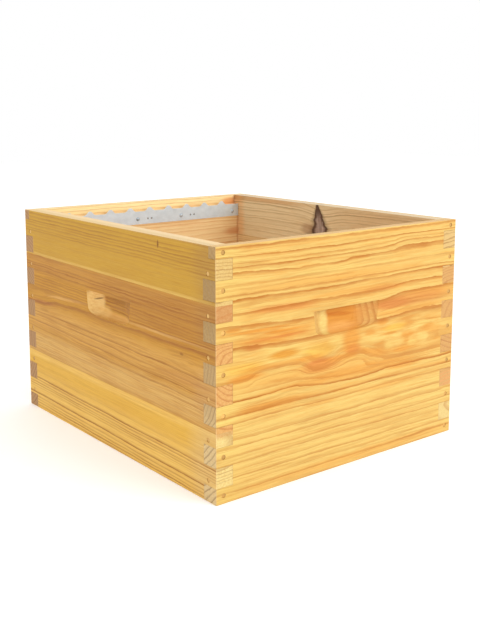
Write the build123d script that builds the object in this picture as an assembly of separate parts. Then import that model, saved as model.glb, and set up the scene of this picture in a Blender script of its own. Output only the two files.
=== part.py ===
from build123d import *
import os
from math import cos, radians, sin

# Wooden hive body: an open finger-jointed pine box with handholds and notched steel frame rests.
# The box stands on its bottom rim, centred on the origin. The two end panels face -Y (front) and +Y (back),
# the two side panels face -X (left) and +X (right). Lengths are in millimetres, angles in degrees.

# Space for the hanging frames, which sets the inside of the box
FRAME_COUNT = 10
FRAME_PITCH = 38.0
INSIDE_LENGTH = 450.0
HEIGHT = 315.0
WALL = 25.0

# Rabbet along the inner top edge of each end panel, where the frame lugs lie
RABBET_WIDTH = 11.0
RABBET_DEPTH = 15.0

# Finger joints: the top finger is as tall as the rabbet is deep, the bottom one takes the rest
FINGER = 25.4
BOTTOM_FINGER_LEAST = 10.0
JOINT_GAP = 0.2

# Each side panel is glued up from three staves, with glue lines that run a little askew
TOP_STAVE = 69.0
BOTTOM_STAVE = 91.0
GLUE_SKEW = 0.4

# Handhold scooped by a tilted disc cutter that travels along the panel
HANDHOLD_DROP = 99.0
HANDHOLD_HEIGHT = 33.5
HANDHOLD_DEPTH = 10.5
HANDHOLD_TRAVEL = 58.0
HANDHOLD_TILT = 6.0
CUTTER_RADIUS = 51.0
CUTTER_ROUND = 9.0

# Flat sides that stand for the rounds of the many small nails and holes
HEAD_SIDES = 10
SHANK_SIDES = 4
SPARE_HOLE_SIDES = 8

# Wire nails at the corners, one through each finger, sunk a little below the wood
NAIL_LENGTH = 50.0
NAIL_DIAMETER = 2.8
NAIL_HEAD_DIAMETER = 6.0
NAIL_HEAD_THICKNESS = 1.2
NAIL_POINT = 4.0
NAIL_SINK = 0.6
NAIL_CLEARANCE = 0.1
END_NAIL_OUTWARD = 1.5
SIDE_NAIL_INWARD = 3.5
SIDE_NAIL_DROP = 6.0

# Notched steel strips that carry the frame lugs
REST_THICKNESS = 1.0
REST_BELOW_NOTCH = 21.5
REST_END_GAP = 0.5
NOTCH_DEPTH = 6.5
NOTCH_ROUND = 8.0
TOOTH_TIP = 4.0
TOOTH_BASE = 17.0
TOOTH_ROUND = 1.6

# Round-headed nails of the strips, and the spare holes beside the middle ones
REST_NAIL_LENGTH = 16.0
REST_NAIL_DIAMETER = 2.4
REST_NAIL_HEAD_DIAMETER = 6.5
REST_NAIL_HEAD_HEIGHT = 1.8
REST_NAIL_CROWN_DROP = 1.1
REST_NAIL_CROWN_RUN = 1.5
REST_NAIL_ABOVE = 6.0
REST_NAIL_END_INSET = 14.0
REST_MIDDLE_NAILS = 3
REST_MIDDLE_SHIFT = 24.0
SPARE_HOLES = 2
SPARE_HOLE_DIAMETER = 3.4
SPARE_HOLE_OFFSET = 20.0
SPARE_HOLE_STEP = 7.5

# Sizes that follow from the ones above
INSIDE_WIDTH = FRAME_COUNT * FRAME_PITCH
WIDTH = INSIDE_WIDTH + 2 * WALL
LENGTH = INSIDE_LENGTH + 2 * WALL
LIP = WALL - RABBET_WIDTH
NOTCH_FLOOR = HEIGHT - RABBET_DEPTH
FRONT = -LENGTH / 2
FRONT_INSIDE = -INSIDE_LENGTH / 2
LEFT = -WIDTH / 2
LEFT_INSIDE = -INSIDE_WIDTH / 2
PAST = WALL
HALF_TURN = Rot(0, 0, 180)


def span(low, high):
    """Box between its lowest and highest corner."""
    size = [b - a for a, b in zip(low, high)]
    middle = [(a + b) / 2 for a, b in zip(low, high)]
    return Pos(*middle) * Box(*size)


def finger_courses():
    """Bottom and top of each course of the corner joints, from the top down."""
    edges = [HEIGHT, NOTCH_FLOOR]
    while edges[-1] - FINGER >= BOTTOM_FINGER_LEAST:
        edges.append(edges[-1] - FINGER)
    edges.append(0.0)
    return list(zip(edges[1:], edges[:-1]))


# The end panels have the top finger and every second one below it, the side panels the rest
END_COURSES = finger_courses()[0::2]
SIDE_COURSES = finger_courses()[1::2]


def end_nail_height(course):
    """Height of the nail through an end panel's finger."""
    return sum(course) / 2


def side_nail_height(course):
    """Height of the nail through a side panel's finger."""
    return sum(course) / 2 - SIDE_NAIL_DROP


# The strip nails pass over the topmost nails of the side panels
REST_NAIL_HEIGHT = side_nail_height(SIDE_COURSES[0]) + REST_NAIL_ABOVE


def prism(diameter, sides, low, high):
    """Upright prism between two heights, its corners on a circle of the given diameter."""
    return Pos(0, 0, low) * extrude(RegularPolygon(diameter / 2, sides), amount=high - low)


def shank(diameter, neck, tip):
    """Four-sided nail shank with a sharp point, from under the head down to the tip."""
    shoulder = tip + NAIL_POINT
    square = Pos(0, 0, shoulder) * RegularPolygon(diameter / 2, SHANK_SIDES)
    point = loft([square.face(), Vertex(0, 0, tip)], ruled=True)
    return prism(diameter, SHANK_SIDES, shoulder, neck) + point


def wire_nail():
    """Corner nail along -Z, below a wood face at Z = 0."""
    neck = -NAIL_SINK - NAIL_HEAD_THICKNESS
    head = prism(NAIL_HEAD_DIAMETER, HEAD_SIDES, neck, -NAIL_SINK)
    return head + shank(NAIL_DIAMETER, neck, -NAIL_SINK - NAIL_LENGTH)


def wire_nail_hole():
    """Hole for a corner nail, with a flat seat under its head."""
    neck = -NAIL_SINK - NAIL_HEAD_THICKNESS
    end = -NAIL_SINK - NAIL_LENGTH - NAIL_CLEARANCE
    mouth = prism(NAIL_HEAD_DIAMETER + 2 * NAIL_CLEARANCE, HEAD_SIDES, neck, PAST)
    return mouth + prism(NAIL_DIAMETER + 2 * NAIL_CLEARANCE, SHANK_SIDES, end, neck)


def rest_nail():
    """Round-headed strip nail along -Z, its head seated at Z = 0."""
    head = prism(REST_NAIL_HEAD_DIAMETER, HEAD_SIDES, 0, REST_NAIL_HEAD_HEIGHT)
    crown = head.faces().sort_by(Axis.Z)[-1]
    head = chamfer(crown.edges(), REST_NAIL_CROWN_DROP, REST_NAIL_CROWN_RUN)
    return head + shank(REST_NAIL_DIAMETER, 0, -REST_NAIL_LENGTH)


def rest_nail_hole():
    """Hole for a strip nail through the steel and into the wood."""
    end = -REST_NAIL_LENGTH - NAIL_CLEARANCE
    return prism(REST_NAIL_DIAMETER + 2 * NAIL_CLEARANCE, SHANK_SIDES, end, 0)


def end_nail_planes(x_sign, y_sign):
    """Planes of one corner's nails through the end panel, Z out of the wood."""
    x = x_sign * (WIDTH / 2 - WALL / 2 + END_NAIL_OUTWARD)
    y = y_sign * LENGTH / 2
    return [Plane((x, y, end_nail_height(course)), z_dir=(0, y_sign, 0)) for course in END_COURSES]


def side_nail_planes(x_sign, y_sign):
    """Planes of one corner's nails through the side panel, Z out of the wood."""
    x = x_sign * WIDTH / 2
    y = y_sign * (LENGTH / 2 - WALL / 2 - SIDE_NAIL_INWARD)
    return [Plane((x, y, side_nail_height(course)), z_dir=(x_sign, 0, 0)) for course in SIDE_COURSES]


def middle_rest_nails():
    """Places along X of the front strip's middle nails, spread between the end ones."""
    end = INSIDE_WIDTH / 2 - REST_NAIL_END_INSET
    step = 2 * end / (REST_MIDDLE_NAILS + 1)
    return [REST_MIDDLE_SHIFT + end - step * (i + 1) for i in range(REST_MIDDLE_NAILS)]


def rest_nail_planes():
    """Planes of the front strip's nails, Z into the box."""
    end = INSIDE_WIDTH / 2 - REST_NAIL_END_INSET
    y = FRONT_INSIDE + REST_THICKNESS
    places = [-end, *middle_rest_nails(), end]
    return [Plane((x, y, REST_NAIL_HEIGHT), z_dir=(0, 1, 0)) for x in places]


def handhold_cut(face_distance):
    """What the cutter takes out of a face that looks towards -Y, deepest along its upper ledge."""
    disc = extrude(SlotCenterToCenter(HANDHOLD_TRAVEL, 2 * CUTTER_RADIUS), amount=-HANDHOLD_HEIGHT)
    disc = fillet(disc.faces().sort_by(Axis.Z)[0].edges(), CUTTER_ROUND)
    deepest = Pos(0, HANDHOLD_DEPTH - face_distance, HEIGHT - HANDHOLD_DROP)
    return deepest * Rot(-HANDHOLD_TILT, 0, 0) * Pos(0, -CUTTER_RADIUS, 0) * disc


def end_panel():
    """Front panel: one board with a rabbet inside its top edge and sockets for the side fingers."""
    board = span((LEFT, FRONT, 0), (-LEFT, FRONT_INSIDE, HEIGHT))
    cuts = [
        span((LEFT - PAST, FRONT + LIP, NOTCH_FLOOR), (-LEFT + PAST, FRONT_INSIDE + PAST, HEIGHT + PAST)),
        handhold_cut(LENGTH / 2),
    ]
    for low, high in SIDE_COURSES:
        socket = span(
            (LEFT - PAST, FRONT - PAST, low - JOINT_GAP / 2),
            (LEFT_INSIDE + JOINT_GAP, FRONT_INSIDE + PAST, high + JOINT_GAP / 2),
        )
        cuts += [socket, mirror(socket, Plane.YZ)]
    for x_sign in (-1, 1):
        planes = end_nail_planes(x_sign, -1) + side_nail_planes(x_sign, -1)
        cuts += [plane * wire_nail_hole() for plane in planes]
    cuts += [plane * rest_nail_hole() for plane in rest_nail_planes()]
    return board - cuts


def side_panel():
    """Left panel before it is parted into staves: its top sockets are only as deep as the rabbet's lip."""
    board = span((LEFT, FRONT, 0), (LEFT_INSIDE, -FRONT, HEIGHT))
    cuts = [Rot(0, 0, -90) * handhold_cut(WIDTH / 2)]
    for low, high in END_COURSES:
        depth = LIP if low == NOTCH_FLOOR else WALL
        socket = span(
            (LEFT - PAST, FRONT - PAST, low - JOINT_GAP / 2),
            (LEFT_INSIDE + PAST, FRONT + depth + JOINT_GAP, high + JOINT_GAP / 2),
        )
        cuts += [socket, mirror(socket, Plane.XZ)]
    for y_sign in (-1, 1):
        planes = end_nail_planes(-1, y_sign) + side_nail_planes(-1, y_sign)
        cuts += [plane * wire_nail_hole() for plane in planes]
    return board - cuts


def staves(panel):
    """Top, middle and bottom stave of a side panel, parted along its two glue lines."""
    skew = radians(GLUE_SKEW)
    up = (0, -sin(skew), cos(skew))
    upper = Plane((0, 0, HEIGHT - TOP_STAVE), z_dir=up)
    lower = Plane((0, 0, BOTTOM_STAVE), z_dir=up)
    below = split(panel, bisect_by=upper, keep=Keep.BOTTOM)
    return {
        "top": split(panel, bisect_by=upper, keep=Keep.TOP),
        "middle": split(below, bisect_by=lower, keep=Keep.TOP),
        "bottom": split(below, bisect_by=lower, keep=Keep.BOTTOM),
    }


def frame_rest():
    """Strip on the front panel's inner face: a notch for each frame, the outermost ones open to its ends."""
    length = INSIDE_WIDTH - 2 * REST_END_GAP
    height = REST_BELOW_NOTCH + NOTCH_DEPTH
    blank = Pos(0, NOTCH_DEPTH - height / 2) * Rectangle(length, height)
    floor = (FRAME_PITCH - TOOTH_BASE) / 2
    mouth = (FRAME_PITCH - TOOTH_TIP) / 2
    notch = make_face(
        Polyline((-floor, 0), (floor, 0), (mouth, NOTCH_DEPTH), (-mouth, NOTCH_DEPTH), close=True)
    )
    open_end = Pos(INSIDE_WIDTH / 2, NOTCH_DEPTH / 2) * Rectangle(FRAME_PITCH, NOTCH_DEPTH)
    notches = [place * notch for place in GridLocations(FRAME_PITCH, 0, FRAME_COUNT, 1)]
    profile = blank - [*notches, open_end, mirror(open_end, Plane.YZ)]
    roots = profile.vertices().group_by(Axis.Y)[1].sort_by(Axis.X)[1:-1]
    profile = fillet(roots, NOTCH_ROUND)
    profile = fillet(profile.vertices().group_by(Axis.Y)[-1], TOOTH_ROUND)
    nail_row = REST_NAIL_HEIGHT - NOTCH_FLOOR
    for x in middle_rest_nails():
        for i in range(SPARE_HOLES):
            hole = x - SPARE_HOLE_OFFSET - i * SPARE_HOLE_STEP
            profile -= Pos(hole, nail_row) * RegularPolygon(SPARE_HOLE_DIAMETER / 2, SPARE_HOLE_SIDES)
    inner_face = Plane((0, FRONT_INSIDE, NOTCH_FLOOR), x_dir=(1, 0, 0), z_dir=(0, -1, 0))
    strip = extrude(inner_face * profile, amount=-REST_THICKNESS)
    return strip - [plane * rest_nail_hole() for plane in rest_nail_planes()]


def group(shapes):
    """Separate solids that share one node."""
    return Compound(children=list(shapes))


def assemble():
    """Every piece by its name: the back and right pieces are the front and left ones turned round."""
    panel = end_panel()
    rest = frame_rest()
    rest_nails = group(plane * rest_nail() for plane in rest_nail_planes())
    left_staves = staves(side_panel())
    pieces = {}
    for turn, end, side, other_side in (
        (Rot(), "front", "left", "right"),
        (HALF_TURN, "back", "right", "left"),
    ):
        pieces[f"{end}_end_panel"] = turn * panel
        pieces[f"{end}_frame_rest"] = turn * rest
        pieces[f"{end}_frame_rest_nails"] = turn * rest_nails
        for name, stave in left_staves.items():
            pieces[f"{side}_side_{name}_stave"] = turn * stave
        for corner, x_sign in ((side, -1), (other_side, 1)):
            end_nails = group(plane * wire_nail() for plane in end_nail_planes(x_sign, -1))
            side_nails = group(plane * wire_nail() for plane in side_nail_planes(x_sign, -1))
            pieces[f"{end}_{corner}_end_nails"] = turn * end_nails
            pieces[f"{end}_{corner}_side_nails"] = turn * side_nails
    return pieces


os.makedirs("parts", exist_ok=True)
for node, shape in assemble().items():
    shape.label = node
    export_step(shape, f"parts/{node}.step")
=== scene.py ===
import math
import random
from dataclasses import dataclass
from functools import partialmethod

import bmesh
import bpy
from mathutils import Color, Matrix, Vector


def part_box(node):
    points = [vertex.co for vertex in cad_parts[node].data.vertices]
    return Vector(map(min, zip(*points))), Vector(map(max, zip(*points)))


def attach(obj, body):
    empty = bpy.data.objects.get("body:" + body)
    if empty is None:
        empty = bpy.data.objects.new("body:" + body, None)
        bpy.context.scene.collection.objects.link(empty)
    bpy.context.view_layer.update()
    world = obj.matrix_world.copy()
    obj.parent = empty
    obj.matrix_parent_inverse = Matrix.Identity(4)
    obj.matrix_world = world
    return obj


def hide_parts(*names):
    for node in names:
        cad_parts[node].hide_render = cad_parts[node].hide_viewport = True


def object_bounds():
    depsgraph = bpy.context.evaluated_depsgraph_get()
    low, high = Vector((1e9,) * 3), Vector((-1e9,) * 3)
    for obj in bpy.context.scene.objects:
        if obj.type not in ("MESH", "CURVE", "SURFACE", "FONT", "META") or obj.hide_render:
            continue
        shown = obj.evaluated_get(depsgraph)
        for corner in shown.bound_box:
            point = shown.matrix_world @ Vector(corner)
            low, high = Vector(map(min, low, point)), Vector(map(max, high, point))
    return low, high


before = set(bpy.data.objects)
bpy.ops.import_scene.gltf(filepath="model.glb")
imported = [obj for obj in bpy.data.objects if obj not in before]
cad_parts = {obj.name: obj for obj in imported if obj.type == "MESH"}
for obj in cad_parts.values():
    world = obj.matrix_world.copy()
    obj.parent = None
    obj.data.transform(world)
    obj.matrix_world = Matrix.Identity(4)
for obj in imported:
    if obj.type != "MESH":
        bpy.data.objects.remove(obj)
cad_low, cad_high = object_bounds()

# Lengths in the materials are millimetres, everywhere else metres
MM = 0.001

# The box in millimetres: its lowest and highest corners and its walls' thickness
LOW = cad_low / MM
HIGH = cad_high / MM
PANEL_LOW, PANEL_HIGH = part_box("front_end_panel")
WALL = (PANEL_HIGH.y - PANEL_LOW.y) / MM

# Camera: where it stands, where it looks and how wide
CAMERA_PLACE = (-0.8527, -1.1067, 0.4781)
CAMERA_HEADING = -38.185
CAMERA_PITCH = 8.25
CAMERA_LENS = 52.66
CAMERA_SENSOR = 36.0
CAMERA_SHIFT_UP = -0.125

# Studio: white surroundings, a broad key light from the front right and a pale floor
WHITE = (1.0, 1.0, 1.0, 1.0)
WORLD_STRENGTH = 1.0
KEY_PLACE = (1.1, -2.6, 1.7)
KEY_TARGET = (0.0, 0.0, 0.12)
KEY_SIZE = 2.0
KEY_POWER = 42.0
FLOOR_HALF = 6.0
FLOOR_DROP = 0.0004
FLOOR_COLOUR = (0.98, 0.98, 0.98, 1.0)
FLOOR_ROUGHNESS = 0.9
FLOOR_GLOW = 0.2

# Light on the front face, where the left face has about 1
FRONT_LIGHT = 1.38

# Painted highlight on the rim and along the outer edges, where light catches them; along the sawn edges it
# is also paler wood
PALE_RIM_HIGHLIGHT = (0.86, 0.66, 0.36, 1.0)
WARM_RIM_HIGHLIGHT = (0.72, 0.47, 0.21, 1.0)
DULL_RIM_HIGHLIGHT = (0.68, 0.54, 0.35, 1.0)

# Fall of the side panels' glue lines, from their angle in degrees
GLUE_SKEW = 0.4
GLUE_FALL = math.tan(math.radians(GLUE_SKEW))

# Growth rings: the part of the middle ring left out at the pith, and where in a ring its width is set
QUIET = 0.3
RING_LEVEL = (0.05, 0.98)

# Made-up rings: how much they vary in width and strength, and their warmth by strength
RING_SEED = 7
RING_WIDTHS = (0.6, 1.4)
RING_STRENGTHS = (0.3, 1.0)
RING_WARMTH = 0.7

# Ring lines: how far ripples shift them, and how their strength varies
LINE_RIPPLE = 0.03
LINE_LUCK = 0.3
LINE_LUCK_LEAST = 0.85
PULSE_SWING = 0.5
LINE_PULSE = 0.9
WARM_PULSE = 0.7
OTHER_SIDE_GAIN = 0.5

# Profile of a ring line, inwards from the ring's edge, in millimetres or as a share of the ring
LINE_EDGE = 0.6
LINE_CORE = 0.3
LINE_SHARE = 0.2
WARM_RANGE = (0.1, 1.0)

# Handholds: middle height, half height, fade at the rim, the depth where they begin, and their broad bands
HANDHOLD_LEVEL = 199.0
HANDHOLD_HALF = 22.0
HANDHOLD_FADE = 2.0
HANDHOLD_DEPTH = (0.2, 0.8)
BAND_RISE = (0.35, 0.85)
BAND_FALL = (0.93, 1.0)
BAND_AMOUNT = 0.8

# Marks: half length of one along a whole board, how deep they reach, their fade and how ragged they are
WHOLE = 900.0
MARK_REACH = 11.2
MARK_FADE = 3.0
RAGGED_RIPPLE = 0.15
RAGGED_STREAK = 0.12

# Figure of the wood: from which noise value to which it sets in, and its fine threads
STREAK_RANGE = (-0.6, 1.0)
BLUSH_RANGE = (-0.1, 1.0)
FLAME_RANGE = (-0.6, 0.6)
THREAD_LONG = 170.0
THREAD_FINENESS = 4.0
VEIL_SWING = 0.6
VEIL_MIDDLE = 0.5

# End grain: how squarely the grain meets the surface, and the profile of its lines
END_FACING = (0.75, 0.95)
END_LINE_RISE = (0.55, 0.9)
END_LINE_FALL = (0.955, 1.0)
END_LINE_LUCK = 0.5

# Surface of the wood: tones by red, green and blue, the painted highlight on the rim and the outer edges,
# shine and relief
STREAK_TONE = 0.3
FIBRE_TONE = 0.14
TONE_SHARES = (0.5, 1.0, 1.6)
RIM_FACING = (0.8, 0.95)
RIM_DEPTH = (2.0, 1.0)
RIM_AMOUNT = 0.7
ARRIS_WIDTH = 1.6
ARRIS_AMOUNT = 0.25
WOOD_ROUGHNESS = 0.6
RING_POLISH = 0.08
RELIEF_SHARE = 0.5
WOOD_RELIEF = 0.12
WOOD_SPECULAR = 0.2

# Spike knot inside the right wall: top and foot as distance along and height, half widths and reach in
KNOT_TOP = (15.0, 316.0)
KNOT_FOOT = (4.0, 262.0)
KNOT_HALF = 20.0
KNOT_TIP_HALF = 2.0
KNOT_RAGGED = 0.35
KNOT_FOOT_FADE = (0.9, 1.15)
KNOT_REACH = 16.0
KNOT_REACH_FADE = 4.0

# How far the knot bends the rings, and over what length
KNOT_BEND = 9.0
KNOT_BEND_LONG = 38.0

# The knot's colours, their places from its middle outwards, and the strands of its core
KNOT_EDGE = (0.075, 0.032, 0.018, 1.0)
KNOT_CORE = (0.52, 0.38, 0.3, 1.0)
KNOT_HALO_RANGE = (0.9, 1.9)
KNOT_HALO_AMOUNT = 0.45
KNOT_EDGE_RANGE = (0.9, 1.15)
KNOT_EDGE_AMOUNT = 0.9
KNOT_CORE_RANGE = (0.3, 0.8)
KNOT_CORE_DOWN = (0.15, 0.6)
STRAND_WIDE = 2.2
STRAND_LONG = 30.0
STRAND_SWING = 0.8
STRAND_MIDDLE = 0.65

# Spare holes in the back strip, from each middle nail towards the right, and the painted shade on the wood
# behind them
SPARE_HOLES = 2
SPARE_HOLE_RADIUS = 2.0
SPARE_HOLE_OFFSET = 20.0
SPARE_HOLE_STEP = 7.5
SPARE_HOLE_SHADE = (0.28, 0.28, 0.27, 1.0)

# Zinc on the strips: its spangle and specks, where its two greys lie, shine and relief
SPANGLE_LONG = 14.0
SPANGLE_TALL = 10.0
SPANGLE_SWING = 0.4
ZINC_SPECK = 1.2
ZINC_GREYS_AT = (0.2, 0.8)
ZINC_ROUGHNESS = 0.42
ZINC_ROUGHNESS_SWING = 0.05
ZINC_RELIEF = 0.03
ZINC_METALLIC = 0.35

# Steel of the nails: its specks, how far apart nails differ, where its two tones lie, shine and relief
STEEL_SPECK = 1.5
STEEL_SPECK_SWING = 0.25
STEEL_ACROSS = 40.0
STEEL_UP = 21.0
STEEL_NAIL_SWING = 0.7
STEEL_TONES_AT = (0.1, 0.9)
STEEL_ROUGHNESS = 0.45
STEEL_ROUGHNESS_SWING = 0.08
STEEL_RELIEF = 0.08

# Small rounding of the sawn edges and of the strips
EDGE_EASE = 0.15 * MM
STRIP_EASE = 0.1 * MM
EASE_STEPS = 2
EDGE_ANGLE = 30.0
WELD_DISTANCE = 0.002 * MM

# Nails: length of the point, facets, sharpest smooth edge and least distance between neighbours
NAIL_POINT = 4.0 * MM
NAIL_SEGMENTS = 32
NAIL_DOME_STEPS = 6
NAIL_SMOOTH_ANGLE = 40.0
NAIL_SPACING_LEAST = 4.0 * MM

# Axes by number
X_AXIS = 0
Z_AXIS = 2


def rgb(red, green, blue, light=1.0):
    """Surface colour that shows as an 8-bit display colour under that much light."""
    linear = Color((red / 255, green / 255, blue / 255)).from_srgb_to_scene_linear()
    return (*(linear / light), 1.0)


def sunlit(red, green, blue):
    """Surface colour that shows as that display colour on the front face."""
    return rgb(red, green, blue, FRONT_LIGHT)


class Field:
    """A value that varies over a surface. Arithmetic on fields adds the nodes that work it out."""

    def __init__(self, paint, socket):
        self.paint = paint
        self.socket = socket

    def calc(self, operation, *others):
        node = self.paint.add("ShaderNodeMath")
        node.operation = operation
        for socket, value in zip(node.inputs, (self, *others)):
            self.paint.feed(socket, value)
        return Field(self.paint, node.outputs[0])

    __add__ = __radd__ = partialmethod(calc, "ADD")
    __sub__ = partialmethod(calc, "SUBTRACT")
    __mul__ = __rmul__ = partialmethod(calc, "MULTIPLY")
    __truediv__ = partialmethod(calc, "DIVIDE")
    __pow__ = partialmethod(calc, "POWER")
    fract = partialmethod(calc, "FRACT")
    floor = partialmethod(calc, "FLOOR")
    abs = partialmethod(calc, "ABSOLUTE")
    exp = partialmethod(calc, "EXPONENT")
    least = partialmethod(calc, "MINIMUM")
    most = partialmethod(calc, "MAXIMUM")

    def __rsub__(self, other):
        return self * -1.0 + other

    def bound(self):
        """Kept between 0 and 1."""
        return self.least(1.0).most(0.0)

    def ease(self, low, high):
        """Smooth step from 0 at low to 1 at high."""
        node = self.paint.add("ShaderNodeMapRange")
        node.interpolation_type = "SMOOTHSTEP"
        self.paint.fill(node, {"Value": self, "From Min": low, "From Max": high})
        return Field(self.paint, node.outputs["Result"])


class Paint:
    """One material and short ways to add its nodes."""

    # A noise texture's values lie about 0.5, and this gain spreads them from about -1 to 1
    NOISE_GAIN = 2.6

    # Numbers of a mix node's colour sockets
    MIX_FIRST = 6
    MIX_SECOND = 7
    MIX_RESULT = 2

    def __init__(self, name):
        self.material = bpy.data.materials.new(name)
        self.material.use_nodes = True
        self.tree = self.material.node_tree
        self.tree.nodes.clear()

    def add(self, kind):
        return self.tree.nodes.new(kind)

    def feed(self, socket, value):
        if isinstance(value, Field):
            self.tree.links.new(value.socket, socket)
        else:
            socket.default_value = value

    def fill(self, node, values):
        for name, value in values.items():
            self.feed(node.inputs[name], value)

    def split(self, socket):
        node = self.add("ShaderNodeSeparateXYZ")
        self.tree.links.new(socket, node.inputs[0])
        return [Field(self, output) for output in node.outputs]

    def place(self):
        """X, Y and Z in the part's frame, in millimetres."""
        node = self.add("ShaderNodeTexCoord")
        return [axis / MM for axis in self.split(node.outputs["Object"])]

    def facing(self):
        """How far the surface faces along X, Y and Z, from -1 to 1."""
        node = self.add("ShaderNodeNewGeometry")
        return self.split(node.outputs["True Normal"])

    def vector(self, x, y, z):
        node = self.add("ShaderNodeCombineXYZ")
        for socket, value in zip(node.inputs, (x, y, z)):
            self.feed(socket, value)
        return Field(self, node.outputs[0])

    def noise(self, x, y, z, detail=2.0, roughness=0.5):
        """Smooth noise about 0, mostly between -1 and 1."""
        node = self.add("ShaderNodeTexNoise")
        place = self.vector(x, y, z)
        self.fill(node, {"Vector": place, "Scale": 1.0, "Detail": detail, "Roughness": roughness})
        return Field(self, node.outputs[0]) * self.NOISE_GAIN - self.NOISE_GAIN / 2

    def chance(self, field, seed):
        """A steady random number from 0 to 1 for each whole number."""
        node = self.add("ShaderNodeTexWhiteNoise")
        node.noise_dimensions = "1D"
        self.feed(node.inputs["W"], field + seed)
        return Field(self, node.outputs["Value"])

    def curve(self, field, points, handle="VECTOR"):
        """Straight or smooth runs through (input, output) points, level past both ends."""
        inputs = [p[0] for p in points]
        outputs = [p[1] for p in points]
        low, high = min(inputs), max(inputs)
        least, most = min(outputs), max(outputs)
        node = self.add("ShaderNodeFloatCurve")
        line = node.mapping.curves[0]
        while len(line.points) < len(points):
            line.points.new(0.5, 0.5)
        for point, (x, y) in zip(line.points, sorted(points)):
            point.location = ((x - low) / (high - low), (y - least) / (most - least))
            point.handle_type = handle
        node.mapping.update()
        self.feed(node.inputs["Value"], (field - low) / (high - low))
        return Field(self, node.outputs[0]) * (most - least) + least

    def sway(self, field, points):
        """Smooth runs through (input, output) points."""
        return self.curve(field, points, "AUTO_CLAMPED")

    def ramp(self, field, places, colours):
        """From one colour to another by a value about 0, which lies in the middle of the ramp."""
        node = self.add("ShaderNodeValToRGB")
        for element, place, colour in zip(node.color_ramp.elements, places, colours):
            element.position = place
            element.color = colour
        self.feed(node.inputs[0], field + 0.5)
        return Field(self, node.outputs[0])

    def mix(self, amount, first, second, blend="MIX"):
        node = self.add("ShaderNodeMix")
        node.data_type = "RGBA"
        node.blend_type = blend
        self.feed(node.inputs["Factor"], amount)
        self.feed(node.inputs[self.MIX_FIRST], first)
        self.feed(node.inputs[self.MIX_SECOND], second)
        return Field(self, node.outputs[self.MIX_RESULT])

    def finish(self, colour, roughness, relief=None, relief_depth=0.0, metallic=0.0, specular=0.5, glow=0.0):
        """Principled surface with a relief in millimetres."""
        shader = self.add("ShaderNodeBsdfPrincipled")
        output = self.add("ShaderNodeOutputMaterial")
        self.fill(shader, {
            "Base Color": colour, "Roughness": roughness, "Metallic": metallic,
            "Specular IOR Level": specular, "Emission Color": WHITE, "Emission Strength": glow,
        })
        if relief is not None:
            bump = self.add("ShaderNodeBump")
            self.fill(bump, {"Distance": relief_depth * MM, "Height": relief})
            self.tree.links.new(bump.outputs[0], shader.inputs["Normal"])
        self.tree.links.new(shader.outputs[0], output.inputs[0])
        return self.material


@dataclass
class Grain:
    """Noise drawn out along a board: its size along and across the grain, and a shift that sets it apart."""

    long: float
    fine: float
    shift: float = 0.0
    detail: float = 2.0
    roughness: float = 0.5


@dataclass
class Mark:
    """A soft oval of other colour in a board, leaning with the grain. Lengths are millimetres.

    Its middle lies at a distance along and a height, and long and tall are half its length and height.
    A zone of flames is a mark without colour.
    """

    along: float
    level: float
    long: float
    tall: float
    colour: tuple
    amount: float = 0.7
    lean: float = 0.0
    blur: float = 0.5


@dataclass
class Bend:
    """Where a board's lines leave their level: how far by height, times a share by distance along."""

    levels: tuple
    places: tuple


@dataclass
class Board:
    """How one pine board was sawn out of the log, and its colours. Lengths are millimetres.

    Its face is at a place across the grain, and distances along it are measured from start.
    Each growth ring's edge has its height on the face, the strength of its line and the warmth before it.
    The ends are the end grain's pale wood and its lines, and other is the early wood on the other side.
    Inner faces are paler and greyer than outer faces of the same wood, painted light that stands in for the
    light inside the box.
    """

    face: float
    centre: float
    pith: float
    above: list
    below: list
    early: tuple
    warm: tuple
    late: tuple
    other: tuple
    ends: tuple
    grain: str = "Y"
    start: float = 0.0
    ring: float = 6.0
    scoop_rings: tuple = ()
    slope: float = 0.0
    wave: float = 1.5
    ripple: float = 0.5
    jitter: float = 0.3
    line: float = 1.6
    feather: float = 0.03
    bends: tuple = ()
    blush: float = 0.3
    threads: float = 0.3
    thread_step: float = 4.0
    streaks: float = 0.4
    flames: tuple = ()
    marks: tuple = ()
    scoop_marks: tuple = ()
    end_marks: tuple = ()
    # Colour of the painted highlight on the rim and along the outer edges
    rim: tuple = PALE_RIM_HIGHLIGHT
    calm: float = 0.0
    scooped: bool = False
    knot: bool = False
    seed: float = 0.0


# Noises of the wood, from broad waves of the rings to single fibres
WAVE = Grain(110, 38, detail=1.0)
RIPPLE = Grain(34, 8, shift=5.0)
JITTER = Grain(11, 3, shift=8.0)
STREAK = Grain(60, 2.8, shift=9.0, detail=3.0, roughness=0.65)
FIBRE = Grain(20, 0.9, roughness=0.6)
PULSE = Grain(75, 11, shift=2.0)
BLUSH = Grain(110, 22, shift=3.0)
FLAME = Grain(40, 6, shift=7.0, detail=3.0)
VEIL = Grain(140, 16, shift=6.0, detail=1.0)


def ring_edges(rng, centre, pith, ring, limit, strongest):
    """Edges of made-up rings on one side of the middle, out to a height."""
    edges = []
    radius = pith
    while True:
        radius += ring * rng.uniform(*RING_WIDTHS)
        reach = math.sqrt(radius * radius - pith * pith)
        strength = rng.uniform(*RING_STRENGTHS) * strongest
        edges.append((centre + math.copysign(reach, limit - centre), strength, strength * RING_WARMTH))
        if reach > abs(limit - centre):
            return edges


def made_up_rings(rng, centre, pith, ring, top, foot, strongest=0.9):
    """Middle, pith and ring edges of a board, from a height above it to one below."""
    above = ring_edges(rng, centre, pith, ring, top, strongest)
    below = ring_edges(rng, centre, pith, ring, foot, strongest)
    return {"centre": centre, "pith": pith, "above": above, "below": below}


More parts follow.
